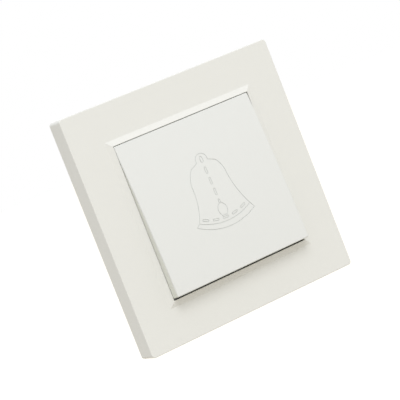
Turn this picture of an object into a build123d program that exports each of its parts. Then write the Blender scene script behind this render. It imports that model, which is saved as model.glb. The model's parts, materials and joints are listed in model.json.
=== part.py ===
from build123d import *

import math
import os

os.makedirs("parts", exist_ok=True)

# Wall-mounted bell push with a spring-return rocker, in millimetres.
# +Z is up, the front faces -Y, and the origin is the middle of the wall plane.
# A "depth" is a distance out from the wall: negative depths lie inside the wall box.

# Cover frame
plate_side = 85.0
plate_depth = 8.3
plate_wall = 2.0
plate_corner_r = 1.2
plate_edge_r = 0.3
opening_side = 55.5
rim_width = 2.1
rim_height = 0.7
rim_land = 0.2
rim_lip = 1.2
rebate = 0.8
collar_wall = 1.4
collar_clearance = 0.4
notch_width = 8.0
rib_wall = 1.2
rib_drop = 3.2
rib_pitch = 18.0

# Rocker cap
side_gap = 0.15
end_gap = 0.5
rest_tilt = 4.1
pivot_depth = 4.6
chord_height = 6.2
camber = 0.65
cap_wall = 1.6
cap_roof = 1.5
skirt_depth = 6.8
cap_draft = 0.6
cap_edge_r = 0.4
cap_corner_r = 0.5
cap_rib_wall = 1.2
cap_rib_drop = 2.2
cap_rib_spacing = 38.0

# Bell figure engraved in the rocker face
mark_line = 0.24
mark_depth = 0.15
mark_offset = 0.52
mark_drop = 0.68
bell_left_side = ((-5.1, 10.7), (-6.75, 8.2), (-7.6, 5.2), (-8.03, -0.4))
bell_right_side = ((5.0, 10.75), (6.2, 8.8), (6.82, 6.26), (7.85, -0.2))
bell_lip_inner = ((-10.4, -7.2), (0.35, -9.9), (10.65, -7.4))
bell_lip_outer = ((-11.75, -8.2), (0.35, -11.93), (11.7, -9.2))
bell_knob_r = 2.2
bell_knob_base = 12.0
bell_knob_top = 14.77
bell_slot_centre = 12.65
bell_slot = (0.95, 2.1)
bell_stem_first = 8.65
bell_stem_pitch = 3.95
bell_stem_dash = (0.65, 2.4)
bell_stem_end = (0.55, 1.4)
bell_stem_end_centre = -2.7
bell_clapper_top = (0.5, -3.5)
bell_clapper_side = (1.75, -5.7)
bell_clapper_foot = (0.9, -7.7)
bell_lip_dash = (2.3, 0.65)
bell_ring_centre = (0.33, 12.77)
bell_ring_r = 21.33
bell_ring_first = -22.1
bell_ring_step = 10.5

# Dolly under the rocker
platform_height = 2.4
platform_width = 20.0
platform_length = 23.0
hub_r = 2.9
trunnion_r = 1.75
trunnion_clearance = 0.05
stem_r = 3.0
stem_length = 10.0
clip_width = 6.0
clip_wall = 1.3
clip_hook = 0.8
clip_drop = 1.4
clip_clearance = 0.15

# Plunger and its spring
plunger_r = 1.4
plunger_clearance = 0.05
plunger_top = 6.5
tip_clearance = 0.05
bore_top = 0.5
plunger_wire = 0.4
plunger_turns = 7

# Return spring
return_reach = 8.0
return_r = 2.2
return_wire = 0.6
return_turns = 6
spigot_r = 1.4
spigot_length = 1.4
spring_clearance = 0.04

# Mounting strap
strap_sheet = 1.0
strap_corner = 9.0
strap_window_clearance = 1.0
slot_spacing = 60.0
slot_width = 3.6
slot_length = 5.0
slot_land = 3.0
tab_inset = 2.0
tab_width = 6.0
tab_height = 5.6
tab_spacing = 32.0
tab_relief = 0.5
latch_wall = 1.4
latch_gap = 0.1
latch_hook = 0.8
latch_hook_height = 1.4
latch_end = 1.6
latch_clearance = 0.2

# Insert: bearing frame and mechanism housing
insert_width = 38.0
insert_height = 42.0
insert_corner_r = 2.0
flange = 2.5
stem_window_width = 18.0
stem_window_height = 9.2
cheek_inner = 11.5
cheek_wall = 2.5
cheek_gap = 0.3
cheek_r = 2.85
post_spacing_x = 14.0
post_spacing_z = 20.0
post_width = 3.0
post_thickness = 2.4
stop_clearance = 0.1
chamber_floor = 14.0
floor_wall = 3.0
bay_depth = 5.0
housing_wall = 2.0
barrier = 3.0
boss_side = 5.5
housing_edge_r = 0.4
parting_bevel = 0.25
gauge_length = 9.0
gauge_width = 1.0
gauge_depth = 0.5

# Strap screws
screw_inset_x = 2.5
screw_inset_z = 3.5
screw_r = 1.2
screw_clearance = 0.05
screw_head_r = 2.2
screw_head = 1.4
screw_reach = 9.0
screw_dome_r = 0.7
screw_slot = 0.7
screw_slot_floor = 0.7

# Expansion claws, hinged in lugs folded down from the strap
claw_sheet = 1.2
claw_width = 12.0
claw_gap = 1.0
claw_hinge_drop = 1.4
claw_leg = 13.6
claw_foot = 3.5
claw_foot_drop = 2.0
claw_bend = 1.5
claw_teeth = 3
claw_tooth = 1.4
claw_swing = 20.0
claw_tab_drop = 3.5
claw_tab_width = 6.0
claw_tab_reach = 6.4
claw_screw_offset = 3.9
claw_screw_reach = 12.0
claw_clearance = 0.1
claw_nut_side = 5.0
claw_nut = 2.0
claw_window = 7.6
lug_wall = 1.0
lug_margin = 0.7
lug_clearance = 0.05

# Contacts and terminals
strip = 0.8
strip_width = 8.0
strip_bend = 1.0
strip_clearance = 0.1
fold_inset = 0.6
tab_overhang = 4.0
arm_overhang = 0.8
blade_ratio = 0.85
blade_sheet = 0.8
blade_width = 8.0
blade_corner_r = 1.0
stub_r = 0.7
stub_root = 2.0
stub_clearance = 0.05
ear_gap = 0.6
ear_length = 5.0
ear_rise = 0.4
contact_reach = 8.5
contact_r = 1.5
contact_head = 0.6
contact_edge_r = 0.2
contact_shank_r = 0.8
contact_tail_r = 1.15
contact_tail = 0.3
contact_fit = 0.02
contact_gap_closed = 0.1

# Terminal screws and clamp plates
terminal_inset = 8.0
terminal_screw_r = 1.5
terminal_clearance = 0.05
terminal_head_r = 2.75
terminal_head = 1.9
terminal_bevel = 0.3
terminal_slot = 0.8
terminal_slot_floor = 0.9
terminal_reach = 4.0
terminal_tip_room = 0.4
clamp_plate = 1.0
clamp_length = 7.5
clamp_lip = 0.8
clamp_lip_height = 0.4
clamp_hole_r = 1.7

# Working planes: the wall, a section through X, a level through Z, and the two tilted groups
FRONT = Plane(origin=(0, 0, 0), x_dir=(1, 0, 0), z_dir=(0, -1, 0))
SECTION = Plane(origin=(0, 0, 0), x_dir=(0, 0, 1), z_dir=(1, 0, 0))


def level(z):
    """Plane across the object at height z: local x is X and local y is depth."""
    return Plane(origin=(0, 0, z), x_dir=(1, 0, 0), z_dir=(0, 0, -1))


def tilted_front(depth, degrees):
    """Front plane through an X axis at this depth, its top tipped back by degrees."""
    tip = math.radians(degrees)
    return Plane(origin=(0, -depth, 0), x_dir=(1, 0, 0), z_dir=(0, -math.cos(tip), math.sin(tip)))


def tilted_section(depth, degrees):
    """Section plane that belongs to tilted_front: local x is up the face, local y is out."""
    tip = math.radians(degrees)
    return Plane(origin=(0, -depth, 0), x_dir=(0, math.sin(tip), math.cos(tip)), z_dir=(1, 0, 0))


# Places that follow from the driving sizes
rocker_width = opening_side - 2 * side_gap
rocker_height = opening_side - 2 * end_gap
rocker_reach = rocker_height / 2
inside_depth = plate_depth - plate_wall
rim_outer = opening_side + 2 * rim_width
rim_top = opening_side + 2 * rim_land
rebate_side = opening_side + 2 * rebate
collar_outer = rebate_side + 2 * collar_wall
collar_end = strap_sheet + collar_clearance
rib_end = inside_depth - rib_drop
frame_inner = plate_side - 2 * plate_wall

roof_height = chord_height - cap_roof
skirt_height = chord_height - skirt_depth

strap_side = slot_spacing + slot_length + 2 * slot_land
strap_window_width = 2 * (cheek_inner + cheek_wall + strap_window_clearance)
strap_window_height = post_spacing_z + post_thickness + 2 * strap_window_clearance
screw_spacing_x = insert_width - 2 * screw_inset_x
screw_spacing_z = insert_height - 2 * screw_inset_z
tab_inner = strap_side / 2 - tab_inset - strap_sheet
latch_outer = tab_inner - latch_gap
latch_inner = latch_outer - latch_wall

claw_x = insert_width / 2 + claw_gap + claw_sheet / 2
claw_screw_x = claw_x + claw_screw_offset
lug_z = claw_width / 2 + claw_clearance + lug_wall / 2

blade_tilt = blade_ratio * rest_tilt
blade_half = contact_reach + contact_r
blade_dip = blade_half * math.sin(math.radians(blade_tilt))
arm_top = strip - chamber_floor
contact_top = arm_top + contact_head
blade_depth = contact_top + contact_gap_closed + contact_head + blade_sheet / 2 + blade_dip
tip_centre = pivot_depth - blade_depth - blade_sheet / 2 - plunger_r - tip_clearance

bay_floor = chamber_floor + floor_wall
housing_back = bay_floor + bay_depth
fold_z = insert_height / 2 - housing_wall - fold_inset - strip / 2
terminal_screw_z = insert_height / 2 - terminal_inset
tab_end = terminal_screw_z - tab_overhang
arm_end = contact_reach - contact_r - arm_overhang

tilt_sin = math.sin(math.radians(rest_tilt))
tilt_cos = math.cos(math.radians(rest_tilt))
platform_depth = pivot_depth + platform_height * tilt_cos
post_reach = post_spacing_z / 2 + post_thickness / 2
post_top = platform_depth - post_reach * tilt_sin - stop_clearance

ROCKER = tilted_front(pivot_depth, rest_tilt)
ROCKER_SECTION = tilted_section(pivot_depth, rest_tilt)
BLADE = tilted_front(blade_depth, -blade_tilt)
BLADE_SECTION = tilted_section(blade_depth, -blade_tilt)
MARK = Plane(ROCKER.from_local_coords((mark_offset, -mark_drop, roof_height)), ROCKER.x_dir, ROCKER.z_dir)


# Cover frame: shell with the sloped rim, an opening rebated behind its lip, a collar down to the strap
# with a notch for the head of each wall screw, ribs and four latch legs
with BuildPart() as cover_frame:
    with BuildSketch(FRONT):
        RectangleRounded(plate_side, plate_side, plate_corner_r)
    extrude(amount=plate_depth)
    fillet(cover_frame.faces().sort_by(Axis.Y)[0].edges(), plate_edge_r)
    with BuildSketch(FRONT.offset(plate_depth)):
        Rectangle(rim_outer, rim_outer)
    with BuildSketch(FRONT.offset(plate_depth + rim_height)):
        Rectangle(rim_top, rim_top)
    loft()
    with BuildSketch(FRONT):
        Rectangle(frame_inner, frame_inner)
    extrude(amount=inside_depth, mode=Mode.SUBTRACT)
    with BuildSketch(FRONT.offset(rib_end)):
        with GridLocations(rib_pitch, 0, 3, 1):
            Rectangle(rib_wall, frame_inner)
        with GridLocations(0, 2 * rib_pitch, 1, 3):
            Rectangle(frame_inner, rib_wall)
        Rectangle(collar_outer, collar_outer, mode=Mode.SUBTRACT)
    extrude(amount=rib_drop)
    with BuildSketch(FRONT.offset(collar_end)):
        Rectangle(collar_outer, collar_outer)
    extrude(amount=inside_depth - collar_end)
    with BuildSketch(FRONT):
        Rectangle(opening_side, opening_side)
    extrude(amount=plate_depth + rim_height, mode=Mode.SUBTRACT)
    with BuildSketch(FRONT):
        Rectangle(rebate_side, rebate_side)
    extrude(amount=plate_depth + rim_height - rim_lip, mode=Mode.SUBTRACT)
    with BuildSketch(FRONT.offset(collar_end)):
        with GridLocations(collar_outer - collar_wall, 0, 2, 1):
            Rectangle(2 * collar_wall, notch_width)
    extrude(amount=rib_end - collar_end, mode=Mode.SUBTRACT)
    for leg_z in (-tab_spacing / 2, tab_spacing / 2):
        with BuildSketch(level(leg_z)):
            with BuildLine():
                Polyline(
                    (latch_inner, inside_depth),
                    (latch_inner, latch_end),
                    (latch_outer, latch_end),
                    (latch_outer + latch_hook, latch_end + latch_hook_height / 2),
                    (latch_outer + latch_hook, latch_end + latch_hook_height),
                    (latch_outer, latch_end + latch_hook_height),
                    (latch_outer, inside_depth),
                    close=True,
                )
            make_face()
            mirror(about=Plane.YZ)
        extrude(amount=tab_width / 2 - latch_clearance - tab_relief, both=True)


# Bell figure: traced lines that become the tool for the engraving
def outline_dash(width, height):
    """Outline of a rounded dash, one engraved line wide, in the current sketch."""
    radius = min(width, height) / 2
    SlotOverall(max(width, height) + mark_line, 2 * radius + mark_line, rotation=90 if height > width else 0)
    SlotOverall(
        max(width, height) - mark_line,
        2 * radius - mark_line,
        rotation=90 if height > width else 0,
        mode=Mode.SUBTRACT,
    )


def on_ring(degrees):
    """Place on the ring of lip dashes, degrees away from straight down."""
    turn = math.radians(degrees)
    x, y = bell_ring_centre
    return Location((x + bell_ring_r * math.sin(turn), y - bell_ring_r * math.cos(turn), 0), (0, 0, degrees))


def mirrored(point):
    """The point on the other side of the bell's centre line."""
    return (-point[0], point[1])


with BuildPart() as bell_mark:
    with BuildSketch(MARK):
        with BuildLine():
            for knob, side, end in ((-bell_knob_r, bell_left_side, 0), (bell_knob_r, bell_right_side, -1)):
                shoulder_top, shoulder_mid, shoulder_low, waist = side
                Line((knob, bell_knob_base), shoulder_top)
                ThreePointArc(shoulder_top, shoulder_mid, shoulder_low)
                ThreePointArc(shoulder_low, waist, bell_lip_inner[end])
                Line(bell_lip_inner[end], bell_lip_outer[end])
            ThreePointArc((-bell_knob_r, bell_knob_base), (0, bell_knob_top), (bell_knob_r, bell_knob_base))
            ThreePointArc(*bell_lip_outer)
        trace(line_width=mark_line)
        with BuildLine():
            ThreePointArc(*bell_lip_inner)
        trace(line_width=mark_line)
        with BuildLine():
            for side in (lambda point: point, mirrored):
                ThreePointArc(side(bell_clapper_top), side(bell_clapper_side), side(bell_clapper_foot))
            Line(mirrored(bell_clapper_top), bell_clapper_top)
            Line(mirrored(bell_clapper_foot), bell_clapper_foot)
        trace(line_width=mark_line)
        with Locations((0, bell_slot_centre)):
            outline_dash(*bell_slot)
        with Locations([(0, bell_stem_first - bell_stem_pitch * step) for step in range(3)]):
            outline_dash(*bell_stem_dash)
        with Locations((0, bell_stem_end_centre)):
            outline_dash(*bell_stem_end)
        with Locations([on_ring(bell_ring_first + bell_ring_step * step) for step in range(5)]):
            outline_dash(*bell_lip_dash)
    extrude(amount=cap_roof + 2 * camber)
    with BuildSketch(ROCKER_SECTION):
        with BuildLine():
            ThreePointArc(
                (-rocker_reach, chord_height - mark_depth),
                (0, chord_height + camber - mark_depth),
                (rocker_reach, chord_height - mark_depth),
            )
            Polyline(
                (rocker_reach, chord_height - mark_depth),
                (rocker_reach, skirt_height),
                (-rocker_reach, skirt_height),
                (-rocker_reach, chord_height - mark_depth),
            )
        make_face()
    extrude(amount=rocker_width / 2, both=True, mode=Mode.SUBTRACT)


# Rocker cap: cambered face with the engraved bell, drafted skirt, ribs and two clip legs
cap_flare = skirt_depth * math.tan(math.radians(cap_draft))
with BuildPart() as rocker:
    with BuildSketch(ROCKER.offset(skirt_height)):
        RectangleRounded(
            rocker_width + 2 * cap_flare,
            rocker_height + 2 * cap_flare,
            cap_corner_r + cap_flare,
        )
    extrude(amount=skirt_depth + camber, taper=cap_draft)
    with BuildSketch(ROCKER_SECTION):
        with BuildLine():
            ThreePointArc(
                (-rocker_reach, chord_height),
                (0, chord_height + camber),
                (rocker_reach, chord_height),
            )
            Polyline(
                (rocker_reach, chord_height),
                (rocker_height, chord_height),
                (rocker_height, skirt_height),
                (-rocker_height, skirt_height),
                (-rocker_height, chord_height),
                (-rocker_reach, chord_height),
            )
        make_face()
    extrude(amount=rocker_width, both=True, mode=Mode.INTERSECT)
    fillet(rocker.faces().filter_by(GeomType.CYLINDER).sort_by(SortBy.AREA)[-1].edges(), cap_edge_r)
    with BuildSketch(ROCKER.offset(skirt_height)):
        Rectangle(rocker_width - 2 * cap_wall, rocker_height - 2 * cap_wall)
    extrude(amount=roof_height - skirt_height, mode=Mode.SUBTRACT)
    with BuildSketch(ROCKER.offset(roof_height - cap_rib_drop)):
        with GridLocations(cap_rib_spacing, 0, 2, 1):
            Rectangle(cap_rib_wall, rocker_height - cap_wall)
        with GridLocations(0, cap_rib_spacing, 1, 2):
            Rectangle(rocker_width - cap_wall, cap_rib_wall)
    extrude(amount=cap_rib_drop)
    with BuildSketch(ROCKER_SECTION):
        clip_inner = platform_length / 2 + clip_clearance
        clip_outer = clip_inner + clip_wall
        hook_top = platform_height - clip_clearance
        with BuildLine():
            Polyline(
                (clip_inner, roof_height),
                (clip_inner, hook_top),
                (clip_inner - clip_hook, hook_top),
                (clip_inner, hook_top - clip_drop),
                (clip_outer, hook_top - clip_drop),
                (clip_outer, roof_height),
                close=True,
            )
        make_face()
        mirror(about=Plane.YZ)
    extrude(amount=clip_width / 2, both=True)
    add(bell_mark.part, mode=Mode.SUBTRACT)


# Dolly: platform, hub with trunnions, plunger guide and spring spigot
with BuildPart() as dolly:
    with BuildSketch(ROCKER.offset(platform_height)):
        Rectangle(platform_width, platform_length)
    extrude(amount=roof_height - platform_height)
    with BuildSketch(ROCKER_SECTION):
        Circle(hub_r)
    extrude(amount=cheek_inner - cheek_gap, both=True)
    with BuildSketch(ROCKER_SECTION):
        Circle(trunnion_r)
    extrude(amount=cheek_inner + cheek_wall, both=True)
    with BuildSketch(ROCKER):
        Circle(stem_r)
    extrude(amount=-stem_length)
    with BuildSketch(ROCKER.offset(platform_height)):
        with Locations((0, -return_reach)):
            Circle(spigot_r)
    extrude(amount=-spigot_length)
    with BuildSketch(ROCKER.offset(-stem_length)):
        Circle(plunger_r + plunger_clearance)
    extrude(amount=stem_length + bore_top, mode=Mode.SUBTRACT)


# Plunger: round pin with a domed tip on the contact blade
with BuildPart() as plunger:
    with BuildSketch(ROCKER_SECTION):
        with BuildLine():
            Polyline((0, -plunger_top), (plunger_r, -plunger_top), (plunger_r, -tip_centre))
            tip_45 = plunger_r * math.sqrt(0.5)
            ThreePointArc(
                (plunger_r, -tip_centre),
                (tip_45, -tip_centre - tip_45),
                (0, -tip_centre - plunger_r),
            )
            Line((0, -tip_centre - plunger_r), (0, -plunger_top))
        make_face()
    revolve(axis=Axis(ROCKER.origin, ROCKER.z_dir))


def coil(start, direction, length, mean_r, wire, turns):
    """Wire path of a coil spring that fills the given length along its direction."""
    height = length - wire
    base = Vector(*start) + Vector(*direction) * (wire / 2)
    return Helix(height / turns, height, mean_r, center=base, direction=direction)


# Plunger spring, between the plunger and the end of its bore
plunger_spring_r = plunger_r - plunger_wire / 2
with BuildPart() as plunger_spring:
    with BuildLine() as plunger_coil:
        coil(
            tuple(ROCKER.from_local_coords((0, 0, -plunger_top + spring_clearance))),
            tuple(ROCKER.z_dir),
            plunger_top + bore_top - 2 * spring_clearance,
            plunger_spring_r,
            plunger_wire,
            plunger_turns,
        )
    with BuildSketch(Plane(origin=plunger_coil.line @ 0, z_dir=plunger_coil.line % 0)):
        Circle(plunger_wire / 2)
    sweep(path=plunger_coil.line)


# Return spring, between the bearing frame and the lower arm of the dolly
return_top = platform_depth + (return_reach - return_r - return_wire / 2) * tilt_sin
with BuildPart() as return_spring:
    with BuildLine() as return_coil:
        coil(
            (0, -spring_clearance, -return_reach),
            (0, -1, 0),
            return_top - 2 * spring_clearance,
            return_r,
            return_wire,
            return_turns,
        )
    with BuildSketch(Plane(origin=return_coil.line @ 0, z_dir=return_coil.line % 0)):
        Circle(return_wire / 2)
    sweep(path=return_coil.line)


# Mounting strap: flat sheet with slots, window and four folded tabs for the latch legs
with BuildPart() as mounting_strap:
    with BuildSketch(FRONT) as sheet:
        Rectangle(strap_side, strap_side)
        chamfer(sheet.vertices(), strap_corner)
        Rectangle(strap_window_width, strap_window_height, mode=Mode.SUBTRACT)
        with GridLocations(slot_spacing, 0, 2, 1):
            SlotOverall(slot_length, slot_width, mode=Mode.SUBTRACT)
        with GridLocations(screw_spacing_x, screw_spacing_z, 2, 2):
            Circle(screw_r + screw_clearance, mode=Mode.SUBTRACT)
        with GridLocations(2 * claw_screw_x, 0, 2, 1):
            Circle(screw_r + screw_clearance, mode=Mode.SUBTRACT)
        with GridLocations(strap_side - tab_inset, tab_spacing, 2, 2):
            Rectangle(tab_inset, tab_width + 2 * tab_relief, mode=Mode.SUBTRACT)
    extrude(amount=strap_sheet)
    for lug_side in (-lug_z, lug_z):
        with BuildSketch(level(lug_side)):
            lug_r = claw_sheet / 2 + lug_clearance + lug_margin
            with GridLocations(2 * claw_x, 0, 2, 1):
                with Locations((0, -claw_hinge_drop / 2)):
                    Rectangle(2 * lug_r, claw_hinge_drop)
                with Locations((0, -claw_hinge_drop)):
                    Circle(lug_r)
                    Circle(claw_sheet / 2 + lug_clearance, mode=Mode.SUBTRACT)
        extrude(amount=lug_wall / 2, both=True)
    for tab_z in (-tab_spacing / 2, tab_spacing / 2):
        with BuildSketch(level(tab_z)):
            with Locations((tab_inner + strap_sheet / 2, tab_height / 2)):
                Rectangle(strap_sheet, tab_height)
            mirror(about=Plane.YZ)
        extrude(amount=tab_width / 2, both=True)
        with BuildSketch(level(tab_z)):
            hook_middle = latch_end + latch_hook_height / 2
            with Locations((0, hook_middle)):
                Rectangle(strap_side, latch_hook_height + 2 * latch_clearance)
        extrude(amount=tab_width / 2 - tab_relief, both=True, mode=Mode.SUBTRACT)


# Bearing frame: flange behind the strap, two cheeks with bearings, stop posts and a spring spigot
with BuildPart() as bearing_frame:
    with BuildSketch(FRONT.offset(-flange)):
        RectangleRounded(insert_width, insert_height, insert_corner_r)
        Rectangle(stem_window_width, stem_window_height, mode=Mode.SUBTRACT)
        with GridLocations(screw_spacing_x, screw_spacing_z, 2, 2):
            Circle(screw_r + screw_clearance, mode=Mode.SUBTRACT)
    extrude(amount=flange)
    chamfer(bearing_frame.faces().sort_by(Axis.Y)[-1].outer_wire().edges(), parting_bevel)
    for cheek_x in (-cheek_inner - cheek_wall / 2, cheek_inner + cheek_wall / 2):
        with BuildSketch(SECTION.offset(cheek_x)):
            with Locations((0, pivot_depth / 2)):
                Rectangle(2 * cheek_r, pivot_depth)
            with Locations((0, pivot_depth)):
                Circle(cheek_r)
        extrude(amount=cheek_wall / 2, both=True)
    with BuildSketch(SECTION):
        with Locations((0, pivot_depth)):
            Circle(trunnion_r + trunnion_clearance)
    extrude(amount=insert_width / 2, both=True, mode=Mode.SUBTRACT)
    with BuildSketch(FRONT):
        with GridLocations(post_spacing_x, post_spacing_z, 2, 2):
            Rectangle(post_width, post_thickness)
    extrude(amount=post_top)
    with BuildSketch(FRONT):
        with Locations((0, -return_reach)):
            Circle(spigot_r)
    extrude(amount=spigot_length)


# Mechanism housing: contact chamber in front, two open terminal bays and a strip gauge behind
bay_length = (insert_height - barrier) / 2
bay_middle = (insert_height + barrier) / 4
fold_slot = strip_bend + strip + 2 * strip_clearance
fold_slot_z = fold_z + strip / 2 + strip_clearance - fold_slot / 2
with BuildPart() as mechanism_housing:
    with BuildSketch(FRONT.offset(-housing_back)):
        RectangleRounded(insert_width, insert_height, insert_corner_r)
    extrude(amount=housing_back - flange)
    chamfer(mechanism_housing.faces().sort_by(Axis.Y)[0].edges(), parting_bevel)
    with BuildSketch(FRONT.offset(-chamber_floor)):
        chamber_width = insert_width - 2 * housing_wall
        chamber_height = insert_height - 2 * housing_wall
        Rectangle(chamber_width, chamber_height)
        with GridLocations(chamber_width - boss_side, chamber_height - boss_side, 2, 2):
            Rectangle(boss_side, boss_side, mode=Mode.SUBTRACT)
    extrude(amount=chamber_floor - flange, mode=Mode.SUBTRACT)
    with BuildSketch(FRONT.offset(-housing_back)):
        with GridLocations(0, 2 * bay_middle, 1, 2):
            Rectangle(insert_width - 2 * housing_wall, bay_length)
    extrude(amount=bay_depth, mode=Mode.SUBTRACT)
    fillet(mechanism_housing.faces().sort_by(Axis.Y)[-1].edges(), housing_edge_r)
    with BuildSketch(FRONT.offset(-housing_back)):
        SlotOverall(gauge_length, gauge_width)
    extrude(amount=gauge_depth, mode=Mode.SUBTRACT)
    with BuildSketch(FRONT.offset(-bay_floor)):
        with GridLocations(0, 2 * fold_slot_z, 1, 2):
            Rectangle(strip_width + 2 * strip_clearance, fold_slot)
    extrude(amount=floor_wall, mode=Mode.SUBTRACT)
    with BuildSketch(FRONT.offset(-bay_floor)):
        with GridLocations(0, 2 * terminal_screw_z, 1, 2):
            Circle(clamp_hole_r)
    extrude(amount=terminal_reach - strip - clamp_plate + terminal_tip_room, mode=Mode.SUBTRACT)
    with BuildSketch(FRONT.offset(-flange)):
        with GridLocations(screw_spacing_x, screw_spacing_z, 2, 2):
            Circle(screw_r + screw_clearance)
    extrude(amount=flange - screw_reach - screw_clearance, mode=Mode.SUBTRACT)


# Pan-head screws through the strap: four for the insert, two for the claws
def pan_screws(spacing_x, spacing_z, rows, reach):
    """Slotted pan-head screws on the strap's face, in two columns of some rows."""
    with BuildPart() as screws:
        with BuildSketch(FRONT.offset(strap_sheet)):
            with GridLocations(spacing_x, spacing_z, 2, rows):
                Circle(screw_head_r)
        extrude(amount=screw_head)
        fillet(screws.faces().group_by(Axis.Y)[0].edges(), screw_dome_r)
        with BuildSketch(FRONT.offset(strap_sheet)):
            with GridLocations(spacing_x, spacing_z, 2, rows):
                Circle(screw_r)
        extrude(amount=-strap_sheet - reach)
        with BuildSketch(FRONT.offset(strap_sheet + screw_slot_floor)):
            with GridLocations(spacing_x, spacing_z, 2, rows):
                Rectangle(2 * screw_head_r, screw_slot, rotation=45)
        extrude(amount=screw_head, mode=Mode.SUBTRACT)
    return screws


strap_screws = pan_screws(screw_spacing_x, screw_spacing_z, 2, screw_reach)
claw_screws = pan_screws(2 * claw_screw_x, 0, 1, claw_screw_reach)


# Expansion claws: a leg beside the insert, a toothed foot, and a punched tab round its screw
swing_sin = math.sin(math.radians(claw_swing))
swing_cos = math.cos(math.radians(claw_swing))
swing_tan = swing_sin / swing_cos
slot_shift = claw_screw_offset - (claw_screw_offset - claw_tab_drop * swing_sin) / swing_cos
slot_inner = slot_shift + screw_r / swing_cos + claw_sheet / 2 * swing_tan + claw_clearance
slot_outer = screw_r + claw_clearance
tab_depth = -claw_hinge_drop - claw_tab_drop
leg_end = -claw_hinge_drop - claw_leg


def claw(side):
    """Claw on one side of the insert, folded in, with its hinge stubs."""
    with BuildPart() as piece:
        with BuildSketch(level(0)):
            with BuildLine():
                FilletPolyline(
                    (side * claw_x, -claw_hinge_drop),
                    (side * claw_x, leg_end),
                    (side * (claw_x + claw_foot), leg_end - claw_foot_drop),
                    radius=claw_bend,
                )
            trace(line_width=claw_sheet)
            with Locations((side * claw_x, -claw_hinge_drop)):
                Circle(claw_sheet / 2)
        extrude(amount=claw_width / 2, both=True)
        with BuildSketch(SECTION.offset(side * (claw_x - claw_sheet))):
            with Locations((0, tab_depth - claw_sheet / 2 - claw_window / 2)):
                Rectangle(claw_tab_width + 2 * claw_clearance, claw_window)
        extrude(amount=side * 2 * claw_sheet, mode=Mode.SUBTRACT)
        with BuildSketch(FRONT.offset(leg_end - claw_foot_drop - claw_sheet)):
            with GridLocations(0, claw_width / claw_teeth, 1, claw_teeth + 1):
                with Locations((side * (claw_x + claw_foot + claw_sheet), 0)):
                    Rectangle(2 * claw_tooth, 2 * claw_tooth, rotation=45)
        extrude(amount=claw_foot_drop + 2 * claw_sheet, mode=Mode.SUBTRACT)
        with BuildSketch(level(0)):
            with Locations((side * (claw_x + claw_tab_reach / 2), tab_depth)):
                Rectangle(claw_tab_reach, claw_sheet)
        extrude(amount=claw_tab_width / 2, both=True)
        with BuildSketch(FRONT.offset(tab_depth - claw_sheet)):
            with Locations((side * (claw_screw_x + (slot_outer - slot_inner) / 2), 0)):
                SlotOverall(slot_inner + slot_outer, 2 * slot_outer)
        extrude(amount=2 * claw_sheet, mode=Mode.SUBTRACT)
        with BuildSketch(level(0)):
            with Locations((side * claw_x, -claw_hinge_drop)):
                Circle(claw_sheet / 2)
        extrude(amount=lug_z + lug_wall / 2, both=True)
    return piece


claw_left = claw(-1)
claw_right = claw(1)


# Square nuts on the claw screws, under the claws' tabs
with BuildPart() as claw_nuts:
    with BuildSketch(FRONT.offset(tab_depth - claw_sheet / 2 - claw_clearance)):
        with GridLocations(2 * claw_screw_x, 0, 2, 1):
            Rectangle(claw_nut_side, claw_nut_side)
            Circle(screw_r + screw_clearance, mode=Mode.SUBTRACT)
    extrude(amount=-claw_nut)


# Folded terminal strips: an arm on the chamber floor, a fold through the floor, a tab in the bay
arm_middle = strip / 2 - chamber_floor
tab_middle = -bay_floor - strip / 2


def terminal_strip(inner_z, side):
    """Folded strip from inner_z in the chamber to the tab in the bay on this side."""
    with BuildPart() as folded:
        with BuildSketch(SECTION):
            with BuildLine():
                FilletPolyline(
                    (inner_z, arm_middle),
                    (side * fold_z, arm_middle),
                    (side * fold_z, tab_middle),
                    (side * tab_end, tab_middle),
                    radius=strip_bend,
                )
            trace(line_width=strip)
        extrude(amount=strip_width / 2, both=True)
        with BuildSketch(FRONT.offset(-bay_floor)):
            with Locations((0, side * terminal_screw_z)):
                Circle(terminal_screw_r + terminal_clearance)
        extrude(amount=-strip, mode=Mode.SUBTRACT)
    return folded


common_strip = terminal_strip(ear_length / 2, -1)
fixed_strip = terminal_strip(arm_end, 1)

ear_inner = blade_width / 2 + ear_gap
ear_outer = ear_inner + strip
with BuildPart() as common_terminal:
    add(common_strip.part)
    with BuildSketch(FRONT.offset(-chamber_floor)):
        Rectangle(2 * ear_outer, ear_length)
    extrude(amount=strip)
    with BuildSketch(FRONT.offset(-chamber_floor)):
        with GridLocations(2 * ear_inner + strip, 0, 2, 1):
            Rectangle(strip, ear_length)
    extrude(amount=chamber_floor + blade_depth + stub_r + ear_rise)
    with BuildSketch(SECTION):
        notch_r = stub_r + stub_clearance
        with Locations((0, blade_depth)):
            Circle(notch_r)
        with Locations((0, blade_depth + stub_r + ear_rise)):
            Rectangle(2 * notch_r, 2 * (stub_r + ear_rise))
    extrude(amount=ear_outer, both=True, mode=Mode.SUBTRACT)

with BuildPart() as fixed_terminal:
    add(fixed_strip.part)
    with BuildSketch(FRONT.offset(-chamber_floor)):
        with Locations((0, contact_reach)):
            Circle(contact_shank_r + contact_fit)
    extrude(amount=strip, mode=Mode.SUBTRACT)


# Fixed contact: rivet in the fixed terminal's arm
with BuildPart() as fixed_contact:
    with BuildSketch(FRONT.offset(arm_top)):
        with Locations((0, contact_reach)):
            Circle(contact_r)
    extrude(amount=contact_head)
    fillet(fixed_contact.faces().sort_by(Axis.Y)[0].edges(), contact_edge_r)
    with BuildSketch(FRONT.offset(arm_top)):
        with Locations((0, contact_reach)):
            Circle(contact_shank_r)
    extrude(amount=-strip)


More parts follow.
